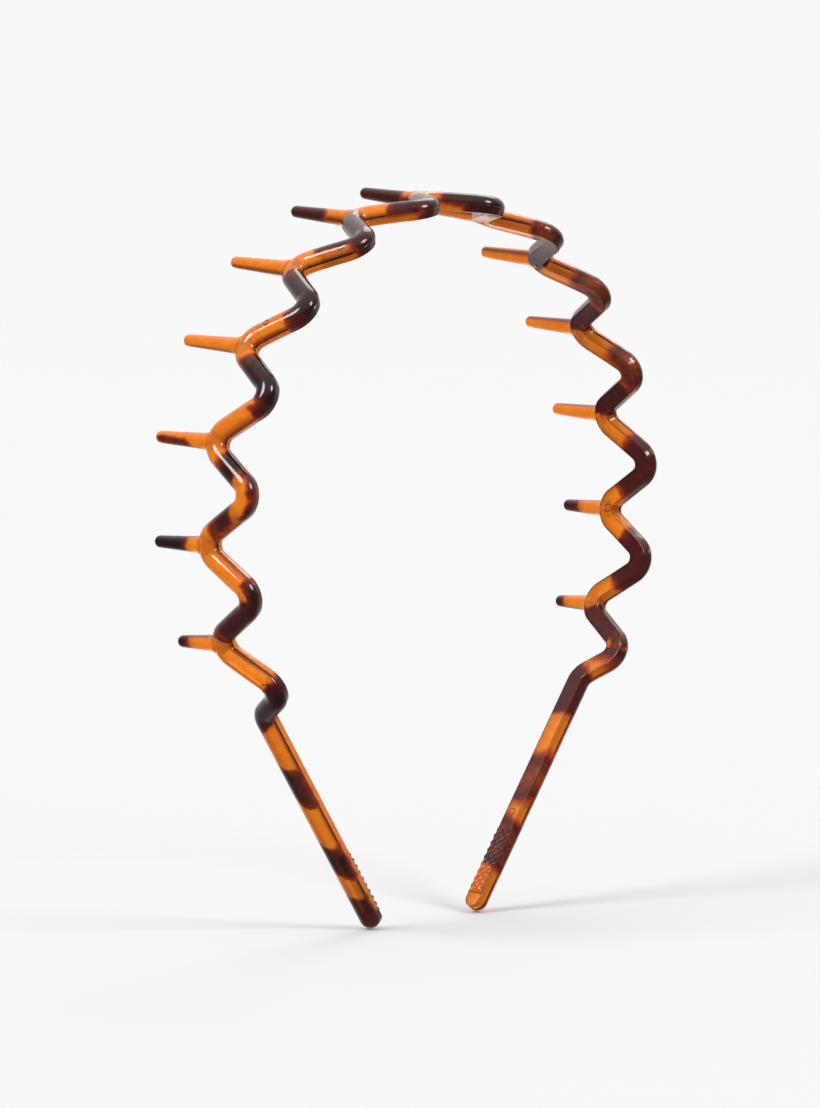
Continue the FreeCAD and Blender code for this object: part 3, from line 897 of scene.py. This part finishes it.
@dataclass
class BandSide:
    """One side of the hoop: its thirteen runs, its arm, its six teeth and its grip."""

    side: Side
    pattern: Pattern
    shell: bpy.types.Material
    marks: tuple[Mark, ...] = ()
    hoop: Hoop = field(default_factory=Hoop)
    section: Section = field(default_factory=Section)
    flexing_bends: tuple[int, ...] = (1, 5, 9, 13)
    tooth_lengths: tuple[float, ...] = (14.3, 13.9, 13.4, 12.7, 11.0, 9.0)
    blend_reach: float = 0.94
    arm_blend_end: float = 1.5

    def bodies(self) -> list[str]:
        """Return the names of the rigid bodies in order from the crown."""
        links = ["%s_link_%d" % (self.side.word, i) for i in range(1, len(self.flexing_bends))]
        return ["crown", *links, self.side.word + "_end"]

    def hinges(self) -> list[Hinge]:
        """Return the flexing bends with the bodies that they join."""
        chain = self.bodies()
        return [Hinge(bend, a, b) for bend, a, b in zip(self.flexing_bends, chain, chain[1:])]

    def body_at(self, place: float) -> str:
        """Return the body that holds a place between two flexing bends."""
        return self.bodies()[sum(place > bend for bend in self.flexing_bends)]

    def on_line(self, place: float) -> Point3:
        """Return the middle of the hoop at a place counted in bends."""
        return self.hoop.point(self.side, place * self.hoop.step, 0.0, 0.0, 0.0)

    def attach(self, piece: bpy.types.Object, hinge: Hinge | None, place: float,
               node: str) -> bpy.types.Object:
        """Dress a piece, hide the CAD node that it stands for, and tie it to the body that it
        moves with, unless it crosses or ends at a flexing bend, where its transform is only baked
        into its mesh.

        Args:
            piece: the finished object.
            hinge: the flexing bend that it crosses or ends at, if any.
            place: where it lies, in bends.
            node: the CAD node that it stands for.

        Returns:
            The same object.
        """
        piece.data.materials.append(self.shell)
        if hinge is None:
            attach(piece, self.body_at(place))
        else:
            start = self.on_line(hinge.bend - self.blend_reach)
            end = self.on_line(hinge.bend + self.blend_reach)
            if hinge.bend == self.hoop.runs:
                end = self.hoop.point(self.side, self.hoop.arm_angle, self.arm_blend_end,
                                      0.0, 0.0, True)
            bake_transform(piece)
        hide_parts(node)
        return piece

    def hinge_of(self, number: int) -> Hinge | None:
        """Return the flexing bend that a run touches."""
        return next((h for h in self.hinges() if h.bend in (number - 1, number)), None)

    @staticmethod
    def normals(path: list[Point2]) -> list[Point2]:
        """Find the direction across the band along its middle line.

        Args:
            path: the points of the middle line.

        Returns:
            The direction at every point, square to the hoop at both ends.
        """
        found = []
        for a, b in zip(path, path[2:]):
            size = math.dist(a, b)
            found.append((-(b[1] - a[1]) / size, (b[0] - a[0]) / size))
        return [SQUARE, *found, SQUARE]

    def sweep(self, stations: list[Station], patches: tuple[Patch, ...], unit: float,
              angle: float, straight: bool) -> Skin:
        """Sweep the section along a piece.

        Args:
            stations: where the section stands, in order.
            patches: the patches along the piece.
            unit: millimetres in one unit of their places.
            angle: where the piece's own frame stands on the arch.
            straight: whether the piece is an arm, which leaves the arch and has a tip.

        Returns:
            The closed skin.
        """
        outline, skin, rings = self.section.outline(), Skin(), []
        parting = self.section.parting
        for at in stations:
            ring = []
            for u, h, rim_shade in outline:
                height = h if h < parting else parting + (h - parting) * at.scale
                depth, warmth = Pattern.depth(patches, at.place, u, unit, h)
                point = self.hoop.point(self.side, angle,
                                        at.spot[0] + u * at.scale * at.across[0],
                                        at.spot[1] + u * at.scale * at.across[1],
                                        height, straight)
                ring.append(skin.add(point, depth, warmth, rim_shade))
            rings.append(ring)
        skin.tube(rings, straight)
        return skin

    def run(self, number: int) -> bpy.types.Object:
        """Build a run.

        Args:
            number: the run, which ends at the bend of the same number.

        Returns:
            The finished piece.
        """
        path = self.hoop.run_path(number)
        lengths = [0.0]
        for a, b in zip(path, path[1:]):
            lengths.append(lengths[-1] + math.dist(a, b))
        stations = [Station(spot, across, number - 1 + done / lengths[-1])
                    for spot, across, done in zip(path, self.normals(path), lengths)]
        angle = (number - 0.5) * self.hoop.step
        skin = self.sweep(stations, self.pattern.runs, lengths[-1], angle, False)
        for mark in self.marks:
            if number - 1 <= mark.place < number:
                at = stations[round((mark.place - number + 1) * (len(path) - 1))]
                self.stamp(skin, mark, at, angle, False)
        name = "%s_run_%02d" % (self.side.word, number)
        return self.attach(skin.build(name + "_band"), self.hinge_of(number), number - 0.5, name)

    def arm(self) -> bpy.types.Object:
        """Build the arm with its rounded tip.

        Returns:
            The finished piece.
        """
        half, angle = self.section.width / 2, self.hoop.arm_angle
        bends = self.hoop.arm_path()
        tip = (self.hoop.arm_length - half, self.hoop.arm_line)
        stations = [Station(spot, across, spot[0])
                    for spot, across in zip(bends, self.normals(bends))]
        stations += [Station(spot, SQUARE, spot[0])
                     for spot in (*self.hoop.line(bends[-1], tip), tip)]
        for sine, cosine in tip_turns()[1:]:
            x = tip[0] + half * sine
            stations.append(Station((x, tip[1]), SQUARE, x, cosine))
        skin = self.sweep(stations, self.pattern.arm, 1.0, angle, True)
        for mark in self.marks:
            if mark.place > self.hoop.runs:
                x = mark.place - self.hoop.runs
                self.stamp(skin, mark, Station((x, tip[1]), SQUARE, x), angle, True)
        name = self.side.word + "_arm"
        return self.attach(skin.build(name + "_band"), self.hinges()[-1], self.hoop.runs, name)

    def stamp(self, skin: Skin, mark: Mark, at: Station, angle: float, straight: bool) -> None:
        """Press an ejector pin's ring into a run or an arm.

        Args:
            skin: the mesh that gets it.
            mark: the ring.
            at: the place along the piece that it lies at.
            angle: where the piece's own frame stands on the arch.
            straight: whether the piece leaves the arch where x passes 0.
        """
        def surface(along: float, aside: float, out: float) -> Point3:
            """Find a point of the ring.

            Args:
                along: its step along the band from the middle of the ring.
                aside: its step across the band.
                out: its step out of the surface.

            Returns:
                The point in metres.
            """
            u = mark.across + (aside if mark.outside else -aside)
            x = at.spot[0] + u * at.across[0] + along * at.across[1]
            y = at.spot[1] + u * at.across[1] - along * at.across[0]
            height = -self.section.thickness / 2 - out
            if mark.outside:
                rise = self.section.thickness / 2 - self.section.parting
                share = 1 - (2 * u / self.section.width) ** 2
                height = self.section.parting + rise * math.sqrt(share) + out
            return self.hoop.point(self.side, angle, x, y, height, straight)

        skin.ring(surface, mark.radius)

    def tooth(self, number: int) -> bpy.types.Object:
        """Build a comb tooth.

        Args:
            number: the tooth, counted from the crown.

        Returns:
            The finished piece.
        """
        bend = 2 * number
        name = "%s_tooth_%d" % (self.side.word, number)
        peg = Peg(self.side, bend * self.hoop.step, self.tooth_lengths[number - 1],
                  self.pattern.teeth.get(number, ()))
        return self.attach(peg.build(name + "_peg"), None, bend, name)

    def grip(self) -> bpy.types.Object:
        """Build the knurled patch inside the arm's end.

        Returns:
            The finished piece.
        """
        name = self.side.word + "_grip"
        knurl = Knurl(self.side, self.pattern.arm)
        return self.attach(knurl.build(name + "_knurl"), None, self.hoop.runs + 1, name)

    def build(self) -> list[bpy.types.Object]:
        """Build every piece of this side.

        Returns:
            The pieces.
        """
        pieces = [self.run(number) for number in range(1, self.hoop.runs + 1)]
        pieces += [self.tooth(number) for number in range(1, len(self.tooth_lengths) + 1)]
        return [*pieces, self.arm(), self.grip()]


@dataclass
class Peg:
    """A comb tooth: a tapering round peg that flares where it leaves the bend."""

    side: Side
    angle: float
    length: float
    patches: tuple[Patch, ...]
    hoop: Hoop = field(default_factory=Hoop)
    root_radius: float = 1.6
    tip_radius: float = 1.15
    root_y: float = 6.25
    sunk: float = 1.6
    tilt: float = 4.0
    flare: float = 0.25
    flare_reach: float = 0.7
    patch_stretch: float = -1.4
    # side_rim and rim_fade set painted shade along the tooth's sides that face along the hoop,
    # where it is seen edge-on.
    side_rim: float = 0.9
    rim_fade: int = 6
    sides: int = 28
    rings: int = 26

    def radius(self, along: float) -> float:
        """Work out the radius, without the rounded tip.

        Args:
            along: the distance from the root.

        Returns:
            The radius there.
        """
        share = min(1.0, max(0.0, along / (self.length - self.tip_radius)))
        taper = self.root_radius + (self.tip_radius - self.root_radius) * share
        return taper + self.flare * math.exp(-max(0.0, along) / self.flare_reach)

    def stations(self) -> list[Point2]:
        """Lay out the tooth's rings from its sunk end to its tip.

        Returns:
            Each ring's distance from the root and its radius.
        """
        shoulder = self.length - self.tip_radius
        steps = [-self.sunk + (shoulder + self.sunk) * i / self.rings for i in range(self.rings)]
        return ([(along, self.radius(along)) for along in steps]
                + [(shoulder + self.tip_radius * sine, self.tip_radius * cosine)
                   for sine, cosine in tip_turns()])

    def build(self, name: str) -> bpy.types.Object:
        """Build the tooth.

        Args:
            name: the piece's name.

        Returns:
            The undressed piece.
        """
        tilt, skin, rings = math.radians(self.tilt), Skin(), []
        for along, radius in self.stations():
            ring = []
            for i in range(self.sides):
                turn = 2 * math.pi * i / self.sides
                across, out = radius * math.cos(turn), radius * math.sin(turn)
                y = self.root_y + along * math.cos(tilt) - out * math.sin(tilt)
                height = along * math.sin(tilt) + out * math.cos(tilt)
                depth, warmth = Pattern.depth(self.patches, along / self.length,
                                              self.patch_stretch * across, self.length)
                # Painted shade along the sides of the tooth that face along the hoop.
                rim_shade = self.side_rim * abs(math.cos(turn)) ** self.rim_fade
                point = self.hoop.point(self.side, self.angle, across, y, height)
                ring.append(skin.add(point, depth, warmth, rim_shade))
            rings.append(ring)
        skin.tube(rings, True)
        return skin.build(name)


@dataclass
class Knurl:
    """The patch of small pyramids on the inner face near an arm's tip."""

    side: Side
    patches: tuple[Patch, ...]
    hoop: Hoop = field(default_factory=Hoop)
    length: float = 14.4
    width: float = 3.2
    setback: float = 2.9
    pitch: float = 1.6
    valley: float = 0.05
    peak: float = 0.4
    swell: float = 1.3
    flat_top: float = 1.15
    grain: float = 0.1
    border: float = 0.02
    sunk: float = 0.3
    # valley_rim and border_rim set painted shade in the valleys between the pyramids and along the
    # knurl's sunk border.
    valley_rim: float = 0.9
    border_rim: float = 0.8
    sharp: float = 50.0

    @property
    def columns(self) -> int:
        """Return the number of faces along the knurl."""
        return round(self.length / self.grain)

    @property
    def rows(self) -> int:
        """Return the number of faces across it."""
        return round(self.width / self.grain)

    def height(self, x: float, y: float) -> float:
        """Work out how far the knurl stands above the inner face.

        Args:
            x: the distance along the knurl.
            y: the distance across it from its middle.

        Returns:
            The height there.
        """
        best = 0.0
        for shift in (0.0, 0.5):
            dx = abs((x / self.pitch + shift) % 1 - 0.5)
            dy = abs((y / self.pitch + shift) % 1 - 0.5)
            best = max(best, 1 - 2 * (dx + dy))
        top = 1 - (1 - best) ** self.swell
        return self.valley + (self.peak - self.valley) * min(1.0, self.flat_top * top)

    def rim_shade(self, rise: float) -> float:
        """Work out the painted shade of a point of the knurled sheet.

        Args:
            rise: the point's height above the inner face.

        Returns:
            The painted shade value, highest in the valleys, where shade falls.
        """
        if rise < 0:
            return self.border_rim
        return self.valley_rim * (1 - min(1.0, rise / self.peak) ** 0.5)

    def sheet(self, skin: Skin, sunk: bool) -> list[list[int]]:
        """Add the knurled sheet, or the plain one that closes it below.

        Args:
            skin: the mesh that gets it.
            sunk: whether it is the plain one.

        Returns:
            The numbers of the sheet's points, column by column.
        """
        grid = []
        start = self.hoop.arm_length - self.setback - self.length
        for i in range(self.columns + 1):
            line = []
            for j in range(self.rows + 1):
                x = self.length * i / self.columns
                y = self.width * j / self.rows - self.width / 2
                edge = i in (0, self.columns) or j in (0, self.rows)
                rise = -self.sunk if sunk else -self.border if edge else self.height(x, y)
                depth, warmth = Pattern.depth(self.patches, start + x, y, 1.0)
                point = self.hoop.point(self.side, self.hoop.arm_angle, start + x,
                                        self.hoop.arm_line + y,
                                        -self.hoop.half_thickness - rise, True)
                line.append(skin.add(point, depth, warmth, 0.0 if sunk else self.rim_shade(rise)))
            grid.append(line)
        return grid

    def build(self, name: str) -> bpy.types.Object:
        """Build the knurl.

        Args:
            name: the piece's name.

        Returns:
            The undressed piece.
        """
        skin = Skin()
        top, low = self.sheet(skin, False), self.sheet(skin, True)
        for i in range(self.columns):
            for j in range(self.rows):
                skin.faces += [(top[i][j], top[i + 1][j], top[i + 1][j + 1], top[i][j + 1]),
                               (low[i][j], low[i][j + 1], low[i + 1][j + 1], low[i + 1][j])]
        for i in range(self.columns):
            for j, a, b in ((0, i, i + 1), (self.rows, i + 1, i)):
                skin.faces.append((top[a][j], low[a][j], low[b][j], top[b][j]))
        for j in range(self.rows):
            for i, a, b in ((0, j + 1, j), (self.columns, j, j + 1)):
                skin.faces.append((top[i][a], low[i][a], low[i][b], top[i][b]))
        return skin.build(name, self.sharp)


@dataclass(frozen=True)
class Lamp:
    """One broad soft light, far away.

    sideways, forward and up are its shares of the directions to the right of the
    camera's view, from the headband to the camera, and upwards.  width is its width as
    seen from the headband, in degrees.
    """

    name: str
    sideways: float
    forward: float
    up: float
    strength: float
    width: float


@dataclass
class Studio:
    """The floor, the light and the camera, with distances in metres."""

    floor_z: float
    floor_radius: float = 3.0
    floor_sides: int = 96
    target: Point3 = (0.0, 0.0, -0.0632)
    azimuth: float = -49.19
    elevation: float = 5.32
    roll: float = 0.797
    distance: float = 1.2154
    long_side: int = 1108
    focal: float = 6337.7
    aim_right: float = 25.2
    aim_up: float = 13.4
    sensor: float = 36.0
    near: float = 0.01
    far: float = 60.0
    paper: float = 0.94
    room: float = 0.2
    tint: Point3 = (1.0, 0.99, 1.0)
    ceiling: float = 0.68
    ceiling_span: Point2 = (0.15, 0.95)
    backdrop: float = 0.75
    backdrop_span: Point2 = (0.1, 0.95)
    lamps: tuple[Lamp, ...] = (Lamp("key_light", -0.7, 0.45, 0.75, 2.3, 26.0),
                               Lamp("side_light", 0.8, 0.5, 0.75, 1.6, 22.0),
                               Lamp("back_light", 0.2, -0.8, 0.8, 0.7, 30.0))

    @property
    def forward(self) -> Vector:
        """Return the level direction from the headband to the camera."""
        a = math.radians(self.azimuth)
        return Vector((math.sin(a), -math.cos(a), 0.0))

    @property
    def right(self) -> Vector:
        """Return the level direction to the right of the camera's view."""
        a = math.radians(self.azimuth)
        return Vector((math.cos(a), math.sin(a), 0.0))

    def floor(self) -> None:
        """Make the floor as a fine disc under the tips."""
        turns = [2 * math.pi * i / self.floor_sides for i in range(self.floor_sides)]
        points = [(0.0, 0.0, 0.0)]
        points += [(self.floor_radius * math.cos(turn), self.floor_radius * math.sin(turn), 0.0)
                   for turn in turns]
        faces = [(0, 1 + i, 1 + (i + 1) % self.floor_sides) for i in range(self.floor_sides)]
        mesh = bpy.data.meshes.new("floor")
        mesh.from_pydata(points, [], faces)
        disc = bpy.data.objects.new("floor", mesh)
        disc.location.z = self.floor_z
        disc.visible_glossy = False
        bpy.context.scene.collection.objects.link(disc)
        mesh.materials.append(PaleFloor().build())
        disc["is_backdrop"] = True

    def hang(self, lamp: Lamp) -> None:
        """Hang one soft light.

        Args:
            lamp: its place, width and strength.
        """
        towards = (self.forward * lamp.forward + self.right * lamp.sideways
                   + Vector((0.0, 0.0, lamp.up)))
        sun = bpy.data.lights.new(lamp.name, "SUN")
        sun.energy, sun.angle = lamp.strength, math.radians(lamp.width)
        holder = bpy.data.objects.new(lamp.name, sun)
        holder.rotation_mode = "QUATERNION"
        holder.rotation_quaternion = towards.to_track_quat("Z", "Y")
        bpy.context.scene.collection.objects.link(holder)

    def light(self) -> None:
        """Make a bright even room with soft lights above and beside the headband."""
        kit = NodeKit(bpy.data.worlds.new("studio"))
        direction = kit.node("ShaderNodeTexCoord", {}, {}, "Generated")
        height = kit.node("ShaderNodeSeparateXYZ", {}, {"Vector": direction}, "Z")
        away = kit.node("ShaderNodeVectorMath", {"operation": "DOT_PRODUCT"},
                        {0: direction, 1: -self.forward}, "Value")
        glow = (height.smooth(*self.ceiling_span) * self.ceiling
                + away.smooth(*self.backdrop_span) * self.backdrop + self.room)
        room = kit.node("ShaderNodeBackground", {}, {"Color": opaque(self.tint), "Strength": glow})
        paper = kit.node("ShaderNodeBackground", {}, {"Color": opaque((self.paper,) * 3)})
        seen = kit.node("ShaderNodeLightPath", {}, {}, "Is Camera Ray")
        both = kit.node("ShaderNodeMixShader", {}, {0: seen, 1: room, 2: paper})
        bpy.context.scene.world = kit.finish("ShaderNodeOutputWorld", both)
        for lamp in self.lamps:
            self.hang(lamp)

    def camera(self) -> None:
        """Set the camera at the angle from which the headband is shown."""
        e, r = math.radians(self.elevation), math.radians(self.roll)
        back = self.forward * math.cos(e) + Vector((0.0, 0.0, math.sin(e)))
        up = back.cross(self.right)
        turned_right = self.right * math.cos(r) + up * math.sin(r)
        turned_up = up * math.cos(r) - self.right * math.sin(r)
        camera = bpy.data.cameras.new("camera")
        camera.sensor_width = self.sensor
        camera.lens = self.focal / self.long_side * self.sensor
        camera.shift_x = -self.aim_right / self.long_side
        camera.shift_y = -self.aim_up / self.long_side
        camera.clip_start, camera.clip_end = self.near, self.far
        holder = bpy.data.objects.new("camera", camera)
        turn = Matrix((turned_right, turned_up, back)).transposed().to_4x4()
        holder.matrix_world = Matrix.Translation(Vector(self.target) + back * self.distance) @ turn
        bpy.context.scene.collection.objects.link(holder)
        bpy.context.scene.camera = holder

    def build(self) -> None:
        """Make the whole stage."""
        self.floor()
        self.light()
        self.camera()
        bpy.context.scene.view_settings.view_transform = "Standard"


def main() -> None:
    """Build the headband on its frame, report its pieces, and build the stage."""
    logging.basicConfig(level=logging.INFO, format="%(message)s")
    cad_low, cad_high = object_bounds()
    shell = Tortoiseshell().build()
    left = BandSide(Side.LEFT, LEFT_PATTERN, shell, LEFT_MARKS)
    # The right side's walls and inner face edges get more painted shade.
    right = BandSide(Side.RIGHT, RIGHT_PATTERN, shell, RIGHT_MARKS,
                     section=Section(wall_rim=0.4, edge_rim=1.05))
    crown = Peg(Side.RIGHT, 0.0, CROWN_LENGTH, CROWN_PATTERN).build("crown_tooth_peg")
    right.attach(crown, None, 0.0, "crown_tooth")
    for piece in (crown, *left.build(), *right.build()):
        LOG.info("%s: %d points", piece.name, len(piece.data.vertices))
    Studio(floor_z=cad_low.z).build()


if __name__ == "__main__":
    main()
